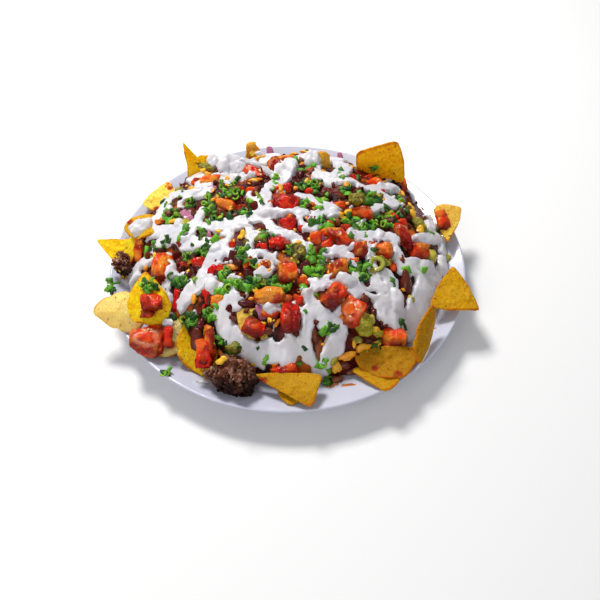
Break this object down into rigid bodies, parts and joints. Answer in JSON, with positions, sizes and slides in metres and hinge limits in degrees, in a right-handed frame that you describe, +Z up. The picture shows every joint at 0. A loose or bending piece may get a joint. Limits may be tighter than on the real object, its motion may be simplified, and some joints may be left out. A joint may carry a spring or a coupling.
{
  "type": "loaded nachos on a plate",
  "caption": "Round white dinner plate heaped with corn chips, seasoned beef, diced tomato, guacamole, chopped herbs and drizzled sour cream.",
  "frame": {"origin": "middle of the plate's flat foot, on the surface that it stands on", "axes": "+Z up; +Y away from the viewer of the picture, +X to the viewer's right"},
  "size_m": [0.2979, 0.28, 0.0745],
  "materials": {
    "plate": "smooth white glaze",
    "filling": "moist crumbled meat, cheese and salsa",
    "corn_chip": "dry baked corn with fine specks",
    "tomato": "wet cut flesh",
    "avocado": "soft mashed flesh",
    "beef": "browned mince with a little fat",
    "onion": "crisp translucent layer",
    "pepper": "pickled skin",
    "cream": "smooth thick cream"
  },
  "bodies": {
    "root": {"plate": "plate", "heap": "filling", "tortilla_chip_1": "corn_chip", "tortilla_chip_2": "corn_chip", "tortilla_chip_3": "corn_chip", "tortilla_chip_4": "corn_chip", "tortilla_chip_5": "corn_chip", "tortilla_chip_6": "corn_chip", "tortilla_chip_7": "corn_chip", "tortilla_chip_8": "corn_chip", "tortilla_chip_9": "corn_chip", "tortilla_chip_10": "corn_chip", "tortilla_chip_11": "corn_chip", "tortilla_chip_12": "corn_chip", "tortilla_chip_13": "corn_chip", "tortilla_chip_14": "corn_chip", "tortilla_chip_15": "corn_chip", "tortilla_chip_16": "corn_chip", "tortilla_chip_17": "corn_chip", "tortilla_chip_18": "corn_chip", "tortilla_chip_19": "corn_chip", "tortilla_chip_20": "corn_chip", "tomato_1": "tomato", "tomato_2": "tomato", "tomato_3": "tomato", "tomato_4": "tomato", "tomato_5": "tomato", "tomato_6": "tomato", "tomato_7": "tomato", "tomato_8": "tomato", "tomato_9": "tomato", "tomato_10": "tomato", "tomato_11": "tomato", "tomato_12": "tomato", "tomato_13": "tomato", "tomato_14": "tomato", "tomato_15": "tomato", "tomato_16": "tomato", "tomato_17": "tomato", "tomato_18": "tomato", "tomato_19": "tomato", "tomato_20": "tomato", "tomato_21": "tomato", "tomato_22": "tomato", "tomato_23": "tomato", "tomato_24": "tomato", "tomato_25": "tomato", "guacamole_1": "avocado", "guacamole_2": "avocado", "guacamole_3": "avocado", "guacamole_4": "avocado", "ground_beef_1": "beef", "ground_beef_2": "beef", "red_onion_1": "onion", "pepper_ring": "pepper", "sour_cream_1": "cream", "sour_cream_2": "cream", "sour_cream_3": "cream", "sour_cream_4": "cream", "sour_cream_5": "cream"}
  },
  "joints": []
}
